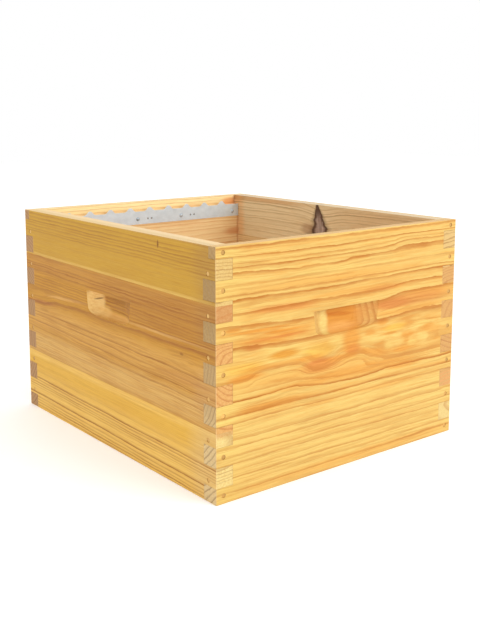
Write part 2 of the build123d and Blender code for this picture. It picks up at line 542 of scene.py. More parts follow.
def phase_points(board):
    """Points of the ring count over the height: whole numbers lie on the ring edges."""
    points = [(board.centre, QUIET)]
    for edges in (board.above, board.below):
        points += [(edge[0], count) for count, edge in enumerate(edges, start=1)]
    return sorted(points)


def edge_points(board, column):
    """Points of one of the ring edges' numbers over the height."""
    first = max(board.above[0][column], board.below[0][column])
    return sorted([(board.centre, first)] + [(edge[0], edge[column]) for edge in board.above + board.below])


def width_points(board):
    """Points of the rings' width over the height, level within each ring."""
    points = []
    for edges in (board.above, board.below):
        heights = [board.centre] + [edge[0] for edge in edges]
        for inner, outer in zip(heights, heights[1:]):
            width = abs(outer - inner) / (1 - QUIET if inner == board.centre else 1)
            points += [(inner + (outer - inner) * share, width) for share in RING_LEVEL]
    return sorted(points)


def outer_edge(x, y, z):
    """1 along the outer edges of the whole box, fading to 0 a little way in."""
    near = []
    for field, low, high in zip((x, y, z), LOW, HIGH):
        half = (high - low) / 2
        near.append((field - (low + high) / 2).abs().ease(half - ARRIS_WIDTH, half))
    return (near[0] * near[1]).most(near[0] * near[2]).most(near[1] * near[2])


def oval(mark, along, z, ragged):
    """1 inside a mark, fading to 0 outside it."""
    across = (along - mark.along) / mark.long
    rise = (z - mark.level - (along - mark.along) * mark.lean) / mark.tall
    reach = (across * across + rise * rise) ** 0.5 + ragged
    return 1.0 - reach.ease(1.0 - mark.blur, 1.0 + mark.blur)


class Pine(Paint):
    """Planed pine: growth rings through the whole board, threads, figure, end grain, and paler edges and
    rim, a painted highlight that along the edges is also paler wood.
    """

    def __init__(self, name, board):
        super().__init__(name)
        self.board = board
        self.x, self.y, self.z = self.place()
        along, through = (self.x, self.y) if board.grain == "X" else (self.y, self.x)
        self.along = along - board.start
        self.depth = through - board.face
        self.far = self.depth.ease(MARK_REACH, MARK_REACH + MARK_FADE)
        self.near = 1.0 - self.far
        self.hollow = self.depth.ease(*HANDHOLD_DEPTH) * self.near
        rim = (self.z - HANDHOLD_LEVEL).abs()
        self.scoop_level = 1.0 - rim.ease(HANDHOLD_HALF, HANDHOLD_HALF + HANDHOLD_FADE)
        self.ripple = self.drawn_out(RIPPLE, self.z)
        self.streak = self.drawn_out(STREAK, self.z)
        self.fibre = self.drawn_out(FIBRE, self.z)
        self.ragged = self.ripple * RAGGED_RIPPLE + self.streak * RAGGED_STREAK
        self.height = self.ring_height()
        self.phase = self.ring_phase()
        self.part = (self.phase + self.ripple * LINE_RIPPLE + self.streak * board.feather).fract()
        self.luck = self.chance(self.phase.floor(), board.seed)

    def drawn_out(self, grain, across):
        """Noise drawn out along the board, over a height."""
        return self.noise(
            self.along / grain.long + self.board.seed, across / grain.fine + grain.shift,
            self.depth / grain.fine, grain.detail, grain.roughness,
        )

    def ring_height(self):
        """Height that a point's ring would have on the face if all rings ran level."""
        board = self.board
        waves = self.drawn_out(WAVE, self.z) * board.wave + self.ripple * board.ripple
        waves = waves + self.drawn_out(JITTER, self.z) * board.jitter
        height = self.z - self.along * board.slope + waves
        if board.knot:
            aside = (self.along - KNOT_FOOT[0]) / KNOT_BEND_LONG
            height = height + (aside * aside * -1.0).exp() * KNOT_BEND
        for bend in board.bends:
            height = height - self.sway(self.z, bend.levels) * self.sway(self.along, bend.places)
        return height

    def ring_phase(self):
        """Rings counted from the middle of the board outwards, round the pith."""
        board = self.board
        off = self.height - board.centre
        inside = self.depth - board.pith
        outer = (off * off + board.pith * board.pith) ** 0.5
        inner = (off * off + inside * inside) ** 0.5
        phase = self.curve(self.height, phase_points(board)) + (inner - outer) / board.ring
        if board.scoop_rings:
            closer = self.curve(self.along, board.scoop_rings) ** -1.0 - 1.0 / board.ring
            phase = phase + (inner - outer) * closer * self.scoop_level * self.near
        return phase

    def ring_lines(self):
        """Warm wood before each ring's edge, and the line along the edge itself."""
        board = self.board
        width = self.curve(self.height, width_points(board))
        gap = (1.0 - self.part) * width
        crisp = gap.ease(0.0, LINE_EDGE)
        pulse = self.drawn_out(PULSE, self.height) * PULSE_SWING
        warmth = self.curve(self.height, edge_points(board, 2)) * (pulse + WARM_PULSE).bound()
        soft = self.part.ease(*WARM_RANGE) * crisp * warmth
        strength = self.curve(self.height, edge_points(board, 1)) * (pulse + LINE_PULSE)
        strength = strength * (self.luck * LINE_LUCK + LINE_LUCK_LEAST) * (self.far * OTHER_SIDE_GAIN + 1.0)
        sharp = (1.0 - gap.ease(LINE_CORE, width * LINE_SHARE + board.line)) * crisp * strength.bound()
        if board.scooped:
            scoop = self.hollow * self.scoop_level
            band = self.part.ease(*BAND_RISE) * (1.0 - self.part.ease(*BAND_FALL))
            sharp = sharp * (1.0 - scoop) + band * scoop * BAND_AMOUNT
        return soft, sharp

    def figure(self, soft):
        """Early wood with its warm wood, streaks, blushes and flames."""
        board = self.board
        colour = self.mix(soft, board.early, board.warm)
        colour = self.mix(self.streak.ease(*STREAK_RANGE) * board.streaks, colour, board.warm)
        blush = self.drawn_out(BLUSH, self.z)
        colour = self.mix(blush.ease(*BLUSH_RANGE) * board.blush, colour, board.warm)
        if board.flames:
            flame = self.drawn_out(FLAME, self.height)
            flames = self.mix(flame.ease(*FLAME_RANGE), board.early, board.warm)
            for zone in board.flames:
                inside = oval(zone, self.along, self.z, self.ripple * RAGGED_RIPPLE)
                colour = self.mix(inside * zone.amount, colour, flames)
        return colour

    def threads(self):
        """Fine lines between the rings, stronger in some places than in others."""
        veil = self.drawn_out(VEIL, self.height) * VEIL_SWING + VEIL_MIDDLE
        thread = self.drawn_out(Grain(THREAD_LONG, self.board.thread_step, detail=1.0), self.height)
        return (1.0 - thread.abs() * THREAD_FINENESS).bound() * veil.bound() * self.board.threads

    def marked(self, colour, marks, within):
        """Colour with marks laid over it."""
        for mark in marks:
            inside = oval(mark, self.along, self.z, self.ragged)
            colour = self.mix(inside * within * mark.amount, colour, mark.colour)
        return colour

    def other_side(self, colour):
        """Colour with the tint and the calmer figure of the board's other side, where the inner faces are
        paler and greyer as painted light for the inside of the box.
        """
        board = self.board
        red, green, blue, _ = (other / early for other, early in zip(board.other, board.early))
        # Painted light: a paler, greyer tint on the inner faces than on the outer faces of the same board
        colour = self.mix(self.far, colour, (red, green, blue, 1.0), blend="MULTIPLY")
        return self.mix(self.far * board.calm, colour, board.other)

    def knotted(self, colour):
        """Colour with the spike knot: a soft halo, a dark edge and a core of strands."""
        (top, high), (foot, low) = KNOT_TOP, KNOT_FOOT
        down = (high - self.z) / (high - low)
        middle = down * (foot - top) + top
        half = down.most(0.0) * KNOT_HALF + KNOT_TIP_HALF
        place = ((self.along - middle) / half).abs() + self.ripple * KNOT_RAGGED
        within = 1.0 - self.depth.ease(KNOT_REACH - KNOT_REACH_FADE, KNOT_REACH)
        within = within * (1.0 - down.ease(*KNOT_FOOT_FADE))
        halo = (1.0 - place.ease(*KNOT_HALO_RANGE)) * KNOT_HALO_AMOUNT
        colour = self.mix(within * halo, colour, KNOT_EDGE)
        edge = (1.0 - place.ease(*KNOT_EDGE_RANGE)) * KNOT_EDGE_AMOUNT
        colour = self.mix(within * edge, colour, KNOT_EDGE)
        strand = self.noise(
            self.along / STRAND_WIDE + self.board.seed, self.z / STRAND_LONG, self.depth / STRAND_WIDE,
        )
        core = (1.0 - place.ease(*KNOT_CORE_RANGE)) * down.ease(*KNOT_CORE_DOWN)
        return self.mix(within * core * (strand * STRAND_SWING + STRAND_MIDDLE).bound(), colour, KNOT_CORE)

    def end_grain(self):
        """Pale wood and ring lines where the grain meets the surface, with the end marks over the pale wood;
        on the front panel these are painted light and shade.
        """
        pale, dark = self.board.ends
        line = self.part.ease(*END_LINE_RISE) * (1.0 - self.part.ease(*END_LINE_FALL))
        line = line * (self.luck * END_LINE_LUCK + (1.0 - END_LINE_LUCK))
        return self.mix(line, self.marked(pale, self.board.end_marks, 1.0), dark)

    def toned(self, colour):
        """Colour with the light and dark of single streaks and fibres."""
        tone = self.streak * self.board.streaks * STREAK_TONE + self.fibre * FIBRE_TONE
        shade = self.vector(*(tone * share + 1.0 for share in TONE_SHARES))
        return self.mix(1.0, colour, shade, blend="MULTIPLY")

    def with_rim_highlight(self, colour, upward):
        """Colour with a painted highlight on the upward rim and along the outer edges, where light catches
        them; along the edges it is also paler wood.
        """
        deepest, full = RIM_DEPTH
        rim = upward.ease(*RIM_FACING) * self.z.ease(HIGH.z - deepest, HIGH.z - full)
        colour = self.mix(rim * RIM_AMOUNT, colour, self.board.rim)
        return self.mix(outer_edge(self.x, self.y, self.z) * ARRIS_AMOUNT, colour, self.board.rim)

    def finished(self):
        """The whole material, from its figure out to its rim."""
        board = self.board
        soft, sharp = self.ring_lines()
        colour = self.marked(self.figure(soft), board.marks, self.near)
        colour = self.mix(self.threads(), colour, board.late)
        colour = self.mix(sharp, colour, board.late)
        colour = self.other_side(self.marked(colour, board.scoop_marks, self.hollow))
        if board.knot:
            colour = self.knotted(colour)
        sideways, endways, upward = self.facing()
        along_grain = sideways if board.grain == "X" else endways
        colour = self.mix(along_grain.abs().ease(*END_FACING), colour, self.end_grain())
        colour = self.with_rim_highlight(self.toned(colour), upward)
        roughness = self.part * -RING_POLISH + WOOD_ROUGHNESS
        relief = self.fibre * RELIEF_SHARE + self.part * (1.0 - RELIEF_SHARE)
        return self.finish(colour, roughness, relief, WOOD_RELIEF, specular=WOOD_SPECULAR)


# The front panel's ring edges, outward from the middle
FRONT_ABOVE = [
    (192, 0.75, 0.5), (217.5, 0.85, 0.8), (233, 0.7, 0.85), (250, 0.8, 0.5), (255, 0.4, 0.5),
    (268, 0.2, 0.3), (283, 0.75, 0.45), (289, 0.8, 0.45), (294, 0.4, 0.4), (302, 0.9, 0.6),
    (313, 0.6, 0.6), (324, 0.5, 0.5),
]
FRONT_BELOW = [
    (147, 0.35, 0.6), (139, 0.35, 0.4), (131, 0.35, 0.45), (123, 0.9, 0.85), (105, 0.75, 0.8),
    (96, 0.4, 0.4), (91, 0.15, 0.1), (75, 0.5, 0.3), (66, 0.45, 0.4), (55, 0.5, 0.35), (46, 0.4, 0.25),
    (37, 0.3, 0.2), (28, 0.4, 0.3), (19, 0.3, 0.3), (10, 0.5, 0.6), (-2, 0.5, 0.5),
]

# How the front panel's lines sway at its middle, rise or fall at the far end and dip under the handhold
FRONT_BENDS = (
    Bend(
        ((0, 0), (140, 0), (170, 0), (186, -6), (214, -4), (229, 0), (247, -3), (262, 0), (276, -5),
         (287, -1), (300, -1.5), (315, 0)),
        ((0, 0), (60, 0.3), (165, 1), (230, 0.4), (300, 0), (430, 0)),
    ),
    Bend(
        ((0, 0), (170, 0), (191, 2), (221, 6), (234, 4), (249, 1), (262, 0), (282, 2), (294, 6), (303, 2),
         (315, 1)),
        ((0, 0), (230, 0), (300, 0.35), (335, 1), (430, 1)),
    ),
    Bend(
        ((0, 0), (60, -1), (76, 2), (106, 0), (122, 0), (133, -15), (150, -10), (170, 0), (315, 0)),
        ((0, 0), (190, 0), (265, 0.5), (300, 0.95), (340, 1), (430, 1)),
    ),
    Bend(
        ((0, 0), (131, 0), (143, 1), (152, 1), (174, 0), (315, 0)),
        ((0, 0), (38, -1), (62, 5), (95, 7), (120, 6), (138, 1.5), (152, -6), (166, -10), (180, -9),
         (210, -0.5), (235, 2.5), (255, 0), (275, -2), (430, 0)),
    ),
    Bend(
        ((0, 0), (104, 0), (115, 1), (125, 1), (139, 0), (315, 0)),
        ((0, 0), (83, 1), (117, 2), (133, 0), (167, -4), (205, -7), (250, -7.5), (310, -4), (402, -5),
         (430, -5)),
    ),
)

# How thick the front panel's rings are inside its handhold, from its near end
FRONT_SCOOP_RINGS = (
    (0, 6), (140, 6), (150, 3), (164, 3), (176, 30), (228, 30), (238, 2.2), (290, 6), (430, 6),
)

# Zones of flames on the front panel
FRONT_FLAMES = (
    Mark(335, 164, 78, 24, None, 0.8),
    Mark(110, 168, 120, 16, None, 0.55),
    Mark(85, 200, 75, 16, None, 0.6),
)

# Colours of the front panel's marks
LIGHT = sunlit(252, 216, 120)
GOLD = sunlit(250, 194, 76)
AMBER = sunlit(244, 174, 78)
ORANGE = sunlit(238, 156, 54)
RUST = sunlit(230, 140, 62)

# Painted light and shade on the front panel's end grain at the near corner: darker high up, lighter low down
# where the floor throws light back
FRONT_END_PAINTED_LIGHT = (
    Mark(0, 262, 40, 50, rgb(162, 128, 76), 0.8),
    Mark(0, 205, 40, 30, rgb(172, 138, 86), 0.5),
    Mark(0, 25, 40, 80, rgb(214, 186, 134), 0.9),
)

# Paler wood of its face, low down and at the near corner
FRONT_TONES = (
    Mark(215, 35, WHOLE, 65, sunlit(255, 228, 138), 0.25),
    Mark(8, 157, 34, 260, LIGHT, 0.5),
    Mark(8, 308, 24, 10, LIGHT, 0.8),
    Mark(8, 109, 24, 13, LIGHT, 0.8),
    Mark(8, 9, 24, 13, LIGHT, 0.8),
)

# Figure of the front panel beside and above its handhold
FRONT_UPPER_MARKS = (
    Mark(190, 257, 150, 5, AMBER, 0.5),
    Mark(185, 269, 50, 5, LIGHT, 0.5),
    Mark(105, 230, 50, 4.5, RUST, 0.6, lean=-0.04),
    Mark(230, 236, 90, 4, AMBER, 0.6),
    Mark(280, 233, 36, 3, RUST, 0.4),
    Mark(26, 212, 12, 3, ORANGE, 0.7),
    Mark(90, 195, 66, 8, ORANGE, 0.6),
    Mark(58, 187, 14, 4, RUST, 0.6),
    Mark(60, 207, 50, 1.8, ORANGE, 0.7),
    Mark(110, 201, 34, 1.5, ORANGE, 0.7),
    Mark(95, 194, 48, 1.8, RUST, 0.6),
    Mark(22, 182, 12, 4, LIGHT, 0.6),
    Mark(305, 209, 38, 7, RUST, 0.95, lean=0.02),
    Mark(372, 214, 45, 7, AMBER, 0.9),
    Mark(340, 209, 75, 9, sunlit(222, 146, 70), 0.65),
    Mark(330, 197, 70, 5, AMBER, 0.7),
    Mark(320, 200, 45, 1.2, LIGHT, 0.4),
    Mark(283, 186, 10, 5, ORANGE, 0.7),
)

# Figure just under the handhold
FRONT_MIDDLE_MARKS = (
    Mark(108, 170, 52, 12, LIGHT, 0.6),
    Mark(108, 170, 24, 5, sunlit(234, 164, 60), 1.0),
    Mark(195, 170, 14, 9, LIGHT, 0.6),
    Mark(165, 165, 26, 9, GOLD, 0.6),
    Mark(40, 162, 30, 8, GOLD, 0.6),
    Mark(95, 159, 60, 3, ORANGE, 0.5),
    Mark(266, 147, 26, 5, ORANGE, 0.6, lean=-0.25),
    Mark(224, 170, 15, 20, ORANGE, 0.75),
    Mark(228, 157, 12, 7, RUST, 0.5),
    Mark(307, 175, 20, 5, GOLD, 0.7),
    Mark(295, 151, 7, 5, LIGHT, 0.6),
    Mark(360, 173, 18, 4, LIGHT, 0.7),
    Mark(343, 148, 9, 4, LIGHT, 0.6),
    Mark(259, 175, 9, 4, ORANGE, 0.5),
    Mark(333, 163, 12, 4, ORANGE, 0.5),
    Mark(385, 162, 20, 5, AMBER, 0.6),
    Mark(322, 141, 16, 3, ORANGE, 0.6),
)

# Figure of the lower half, from the dip downwards
FRONT_LOWER_MARKS = (
    Mark(44, 150, 28, 5, ORANGE, 0.85),
    Mark(166, 146, 24, 8, RUST, 0.95),
    Mark(172, 145, 32, 8, sunlit(232, 144, 70), 0.5),
    Mark(205, 149, 30, 4, ORANGE, 0.6),
    Mark(85, 144, 50, 4.5, LIGHT, 0.5),
    Mark(235, 144, 27, 2.5, LIGHT, 0.5),
    Mark(170, 141, 150, 8, AMBER, 0.45),
    Mark(152, 157, 24, 4, ORANGE, 0.5),
    Mark(325, 119, 34, 4, ORANGE, 0.6),
    Mark(230, 127, 120, 7, ORANGE, 0.6),
    Mark(85, 109, 60, 5, ORANGE, 0.5),
    Mark(170, 95, 30, 2.5, AMBER, 0.5),
    Mark(300, 96, 60, 3, AMBER, 0.5),
    Mark(250, 9, 200, 5, AMBER, 0.45),
)
FRONT_MARKS = FRONT_TONES + FRONT_UPPER_MARKS + FRONT_MIDDLE_MARKS + FRONT_LOWER_MARKS

# Colours inside the front handhold
FRONT_SCOOP_MARKS = (
    Mark(214, 200, 38, 24, sunlit(232, 150, 48), 0.9, blur=0.3),
    Mark(204, 187, 30, 9, sunlit(252, 184, 96), 0.75),
    Mark(206, 206, 26, 3, sunlit(212, 124, 30), 0.85, lean=-0.08),
    Mark(258, 200, 20, 20, sunlit(234, 168, 90), 0.55),
    Mark(160, 200, 26, 80, sunlit(230, 182, 100), 0.75, blur=0.12),
    Mark(179, 198, 8, 16, sunlit(250, 216, 126), 0.9),
)

# Ring edges, paler glue line, nick and shaded near end of the left panel's top stave
LEFT_TOP_ABOVE = [
    (270, 0.05, 0.1), (278, 0.1, 0.1), (283, 0.65, 0.4), (286.5, 0.35, 0.4), (291.5, 0.6, 0.5),
    (295.5, 0.4, 0.5), (299, 1.0, 0.6), (304.5, 0.5, 0.6), (310, 0.4, 0.5), (318, 0.3, 0.5),
]
LEFT_TOP_BELOW = [(250, 0.05, 0.1), (241, 0.1, 0.1), (232, 0.1, 0.1)]
LEFT_TOP_MARKS = (
    Mark(0, 247.5, WHOLE, 2.2, rgb(222, 182, 98), 0.6, lean=GLUE_FALL),
    Mark(-128.5, 304.6, 1.9, 5.0, rgb(130, 82, 30), 0.85, blur=0.3),
    # Painted shade at the near end
    Mark(-248, 290, 40, 60, rgb(180, 137, 63), 0.75),
)

# Ring edges of the left panel's middle stave, and how its lines sway under the handhold and fan out below
LEFT_MIDDLE_ABOVE = [
    (183, 0.7, 0.35), (195, 0.5, 0.3), (199, 0.5, 0.3), (203.5, 0.5, 0.3), (208, 0.5, 0.3), (212, 0.6, 0.4),
    (222.5, 0.5, 0.5), (228.5, 0.85, 0.5), (232.5, 0.6, 0.4), (243, 0.3, 0.3), (252, 0.3, 0.3),
]
LEFT_MIDDLE_BELOW = [
    (154, 0.7, 0.25), (145.5, 0.3, 0.2), (135, 0.65, 0.25), (125, 0.45, 0.2), (117, 0.2, 0.1),
    (105, 0.15, 0.1), (95, 0.12, 0.1), (85, 0.1, 0.1),
]
LEFT_MIDDLE_BENDS = (
    Bend(
        ((80, 0), (150, 0), (176, 1), (200, 0), (315, 0)),
        ((-250, 6.5), (-200, 5.4), (-60, 2.3), (0, 1), (60, 1.7), (110, -0.4), (150, -3.3), (235, -11),
         (250, -11)),
    ),
    Bend(
        ((80, 1), (150, 1), (170, 0), (315, 0)),
        ((-250, -3), (250, 3)),
    ),
)

# Tones and small marks of the middle stave, with painted shade at its near end, deepest high up
LEFT_MIDDLE_MARKS = (
    Mark(0, 236, WHOLE, 14, rgb(190, 134, 64), 0.5),
    Mark(-140, 214, 150, 26, rgb(178, 122, 52), 0.6),
    Mark(0, 150, WHOLE, 20, rgb(218, 168, 92), 0.5),
    Mark(0, 108, WHOLE, 18, rgb(219, 176, 105), 0.65),
    Mark(-180, 142, 50, 7, rgb(196, 140, 70), 0.6),
    Mark(-145, 190.3, 95, 1.8, rgb(220, 172, 102), 0.6),
    Mark(-145, 183.5, 95, 3, rgb(178, 120, 50), 0.6),
    Mark(120, 192, 60, 2.2, rgb(218, 168, 96), 0.6, lean=-0.06),
    Mark(200, 175, 40, 3, rgb(188, 122, 64), 0.7, lean=-0.03),
    Mark(193, 164, 14, 2, rgb(178, 124, 48), 0.6),
    Mark(-179, 173, 3.6, 1.7, rgb(150, 102, 44), 0.8),
    # Painted shade at the near end, deeper high up than low down
    Mark(-248, 225, 36, 50, rgb(176, 126, 62), 0.7),
    Mark(-248, 130, 40, 36, rgb(196, 150, 94), 0.55),
)

# Colours inside its handhold
LEFT_SCOOP_MARKS = (
    Mark(-26, 212, 42, 6, rgb(170, 116, 44), 0.85),
    Mark(-26, 200.5, 40, 2.4, rgb(176, 120, 50), 0.8),
    Mark(-16, 186.5, 44, 6, rgb(224, 168, 86), 0.85),
    Mark(43, 199, 21, 23, rgb(228, 184, 112), 0.95, blur=0.25),
    Mark(18, 190, 16, 8, rgb(230, 182, 104), 0.7),
    Mark(37, 206.5, 9.5, 1.1, rgb(116, 82, 42), 0.8, lean=-0.22),
)

# Ring edges and tones of the left panel's bottom stave
LEFT_BOTTOM_ABOVE = [(104, 0.05, 0.1), (120, 0.1, 0.1)]
LEFT_BOTTOM_BELOW = [
    (56, 0.2, 0.2), (45.5, 1.0, 0.4), (41.5, 0.4, 0.3), (37, 0.7, 0.35), (33.5, 0.4, 0.3), (30, 0.35, 0.2),
    (19.8, 1.1, 0.5), (13.5, 0.35, 0.3), (9, 0.6, 0.5), (5, 0.8, 0.5), (0.5, 0.5, 0.4), (-8, 0.4, 0.4),
]
LEFT_BOTTOM_MARKS = (
    Mark(0, 87, WHOLE, 5, rgb(240, 200, 112), 0.4, lean=GLUE_FALL),
    Mark(0, 28, WHOLE, 28, rgb(240, 202, 116), 0.45),
    Mark(-245, 50, 45, 60, rgb(215, 179, 117), 0.6),
)

# Ring edges and tones of the right panel's top stave
RIGHT_TOP_ABOVE = [
    (258, 0.3, 0.25), (266, 0.4, 0.3), (273, 0.25, 0.2), (281, 0.5, 0.4), (285, 0.3, 0.3), (294, 0.6, 0.4),
    (298, 0.35, 0.3), (306, 0.7, 0.4), (310, 0.45, 0.4), (318, 0.5, 0.4),
]
RIGHT_TOP_BELOW = [(236, 0.4, 0.3), (226, 0.5, 0.3)]
RIGHT_TOP_MARKS = (
    Mark(190, 312, 130, 5, rgb(204, 150, 90), 0.6),
    Mark(228, 312, 22, 5, rgb(160, 120, 70), 0.6),
    Mark(-150, 296, 110, 40, rgb(218, 180, 128), 0.6),
    Mark(222, 270, 14, 60, rgb(240, 178, 110), 0.5),
    Mark(36, 273, 16, 9, rgb(150, 100, 70), 0.5),
)


def back_marks():
    """Marks of the back panel: painted light on its pale lip, a warm patch under the lip, a stain, painted
    shade down its back right corner and dark spots of painted shade in its strip's spare holes.
    """
    spots = [
        # Painted light on the lip above the strip, where light falls on it
        Mark(0, HIGH.z, WHOLE, 12, rgb(255, 236, 176), 0.9),
        Mark(178, HIGH.z - 11, 16, 7, rgb(236, 164, 96), 0.8),
        Mark(182, 251, 22, 6, rgb(196, 120, 70), 0.6),
        # Painted shade down the back right inner corner
        Mark(190, 250, 3, 90, rgb(190, 124, 78), 0.5),
    ]
    size = SPARE_HOLE_RADIUS
    for low, high in nail_boxes("back_frame_rest_nails", X_AXIS)[1:-1]:
        nail = (low + high) / 2 / MM
        for i in range(SPARE_HOLES):
            along = nail.x + SPARE_HOLE_OFFSET + i * SPARE_HOLE_STEP
            # A dark spot of painted shade behind each spare hole
            spots.append(Mark(along, nail.z, size, size, SPARE_HOLE_SHADE, 0.95, blur=0.2))
    return tuple(spots)


def end_boards(rng):
    """Front and back panel, one wide board each."""
    front = Board(
        grain="X", face=LOW.y, start=LOW.x, centre=169.0, pith=110.0, above=FRONT_ABOVE, below=FRONT_BELOW,
        early=sunlit(252, 220, 128), warm=sunlit(230, 150, 50), late=sunlit(192, 112, 28),
        other=rgb(246, 206, 140), ends=(rgb(185, 152, 102), rgb(163, 131, 87)), rim=WARM_RIM_HIGHLIGHT, calm=0.5,
        bends=FRONT_BENDS, flames=FRONT_FLAMES, marks=FRONT_MARKS, scoop_marks=FRONT_SCOOP_MARKS,
        end_marks=FRONT_END_PAINTED_LIGHT, scooped=True, scoop_rings=FRONT_SCOOP_RINGS,
        wave=1.6, ripple=1.1, jitter=0.6, line=2.5, feather=0.05, threads=0.5, thread_step=5.0, streaks=0.8,
        seed=3.0,
    )
    back = Board(
        grain="X", face=HIGH.y - WALL,
        **made_up_rings(rng, centre=130.0, pith=90.0, ring=6.0, top=HIGH.z, foot=0.0, strongest=0.85),
        early=rgb(237, 209, 155), warm=rgb(226, 174, 112), late=rgb(196, 128, 72),
        other=rgb(240, 194, 104), ends=(rgb(176, 134, 88), rgb(142, 102, 64)), marks=back_marks(),
        wave=2.0, ripple=0.8, line=1.2, seed=11.0,
    )
    return {"front_end_panel": front, "back_end_panel": back}


def left_boards():
    """Staves of the left panel, whose outer faces show."""
    top = Board(
        face=LOW.x, centre=262.0, pith=3.0, ring=30.0, slope=0.012,
        above=LEFT_TOP_ABOVE, below=LEFT_TOP_BELOW,
        early=rgb(203, 158, 54), warm=rgb(184, 134, 46), late=rgb(156, 104, 38),
        other=rgb(236, 200, 140), ends=(sunlit(234, 196, 120), sunlit(196, 148, 84)),
        calm=0.3, marks=LEFT_TOP_MARKS,
        wave=1.0, ripple=0.6, jitter=0.45, line=2.4, threads=0.3, thread_step=2.6, streaks=0.8, seed=21.0,
    )
    middle = Board(
        face=LOW.x, centre=160.0, pith=28.0, ring=8.0, slope=0.015,
        above=LEFT_MIDDLE_ABOVE, below=LEFT_MIDDLE_BELOW, bends=LEFT_MIDDLE_BENDS,
        early=rgb(208, 154, 56), warm=rgb(176, 118, 34), late=rgb(152, 92, 30),
        other=rgb(226, 184, 124), ends=(sunlit(236, 178, 104), sunlit(212, 142, 76)),
        calm=0.3, scooped=True, marks=LEFT_MIDDLE_MARKS, scoop_marks=LEFT_SCOOP_MARKS,
        end_marks=(Mark(LOW.y, 235, 60, 13, sunlit(216, 156, 94), 0.85, blur=0.2),),
        wave=2.0, ripple=1.1, jitter=0.5, line=2.4, threads=0.6, thread_step=3.4, streaks=0.95, seed=31.0,
    )
    bottom = Board(
        face=LOW.x, centre=70.0, pith=3.0, ring=30.0, slope=0.0133,
        above=LEFT_BOTTOM_ABOVE, below=LEFT_BOTTOM_BELOW,
        early=rgb(229, 183, 76), warm=rgb(210, 154, 56), late=rgb(158, 96, 32),
        other=rgb(240, 200, 136), ends=(sunlit(248, 218, 140), sunlit(206, 162, 96)),
        calm=0.3, marks=LEFT_BOTTOM_MARKS,
        end_marks=(Mark(LOW.y, 92, 60, 8, sunlit(238, 184, 114), 0.85, blur=0.2),),
        wave=1.0, ripple=0.7, jitter=0.4, line=2.7, blush=0.4, threads=0.3, thread_step=2.6, streaks=0.9,
        seed=41.0,
    )
    return {
        "left_side_top_stave": top,
        "left_side_middle_stave": middle,
        "left_side_bottom_stave": bottom,
    }


def right_boards(rng):
    """Staves of the right panel, whose inner faces show."""
    face = HIGH.x - WALL
    top = Board(
        face=face, centre=250.0, pith=30.0, ring=30.0, slope=-GLUE_FALL,
        above=RIGHT_TOP_ABOVE, below=RIGHT_TOP_BELOW,
        early=rgb(232, 210, 165), warm=rgb(216, 182, 130), late=rgb(160, 127, 82),
        other=rgb(232, 188, 96), ends=(sunlit(232, 194, 124), sunlit(180, 132, 72)),
        rim=DULL_RIM_HIGHLIGHT, marks=RIGHT_TOP_MARKS, knot=True, wave=2.0, ripple=0.8, seed=51.0,
    )
    middle = Board(
        face=face, ring=12.0, slope=-GLUE_FALL,
        **made_up_rings(rng, centre=170.0, pith=40.0, ring=5.0, top=260.0, foot=80.0),
        early=rgb(236, 207, 154), warm=rgb(222, 179, 118), late=rgb(168, 127, 76),
        other=rgb(210, 156, 76), ends=(sunlit(224, 170, 100), sunlit(204, 142, 82)), seed=61.0,
    )
    bottom = Board(
        face=face, ring=30.0, slope=-GLUE_FALL,
        **made_up_rings(rng, centre=40.0, pith=40.0, ring=5.0, top=110.0, foot=-10.0),
        early=rgb(236, 200, 136), warm=rgb(222, 174, 104), late=rgb(168, 120, 66),
        other=rgb(234, 188, 92), ends=(sunlit(242, 212, 138), sunlit(222, 178, 108)), seed=71.0,
        end_marks=(Mark(LOW.y, 88, 60, 18, sunlit(232, 166, 100), 0.9, blur=0.2),),
    )
    return {
        "right_side_top_stave": top,
        "right_side_middle_stave": middle,
        "right_side_bottom_stave": bottom,
    }


def galvanised():
    """Zinc-coated strip: faint spangle and dull shine."""
    paint = Paint("galvanised_strip")
    x, y, z = paint.place()
    spangle = paint.noise(x / SPANGLE_LONG, y / SPANGLE_LONG, z / SPANGLE_TALL)
    specks = paint.noise(x / ZINC_SPECK, y / ZINC_SPECK, z / ZINC_SPECK)
    greys = (rgb(196, 208, 216), rgb(216, 228, 236))
    colour = paint.ramp(spangle * SPANGLE_SWING, ZINC_GREYS_AT, greys)
    roughness = specks * ZINC_ROUGHNESS_SWING + ZINC_ROUGHNESS
    return paint.finish(colour, roughness, specks, ZINC_RELIEF, metallic=ZINC_METALLIC)


def nail_steel(name, dark, light, metallic):
    """Bare steel dulled by handling, each nail a little different."""
    paint = Paint(name)
    x, y, z = paint.place()
    specks = paint.noise(x / STEEL_SPECK, y / STEEL_SPECK, z / STEEL_SPECK, detail=3.0)
    each = paint.noise(x / STEEL_ACROSS, y / STEEL_ACROSS, z / STEEL_UP, detail=0.0)
    tone = specks * STEEL_SPECK_SWING + each * STEEL_NAIL_SWING
    colour = paint.ramp(tone, STEEL_TONES_AT, (dark, light))
    roughness = specks * STEEL_ROUGHNESS_SWING + STEEL_ROUGHNESS
    return paint.finish(colour, roughness, specks, STEEL_RELIEF, metallic=metallic)


def dress(node, material, ease=EDGE_EASE):
    """Gives a CAD node its material and slightly eased edges."""
    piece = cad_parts[node]
    piece.data.materials.clear()
    piece.data.materials.append(material)
    weld = piece.modifiers.new("weld", "WELD")
    weld.merge_threshold = WELD_DISTANCE
    bevel = piece.modifiers.new("eased_edges", "BEVEL")
    bevel.width = ease
    bevel.segments = EASE_STEPS
    bevel.limit_method = "ANGLE"
    bevel.angle_limit = math.radians(EDGE_ANGLE)
    bevel.use_clamp_overlap = False
    bevel.harden_normals = False


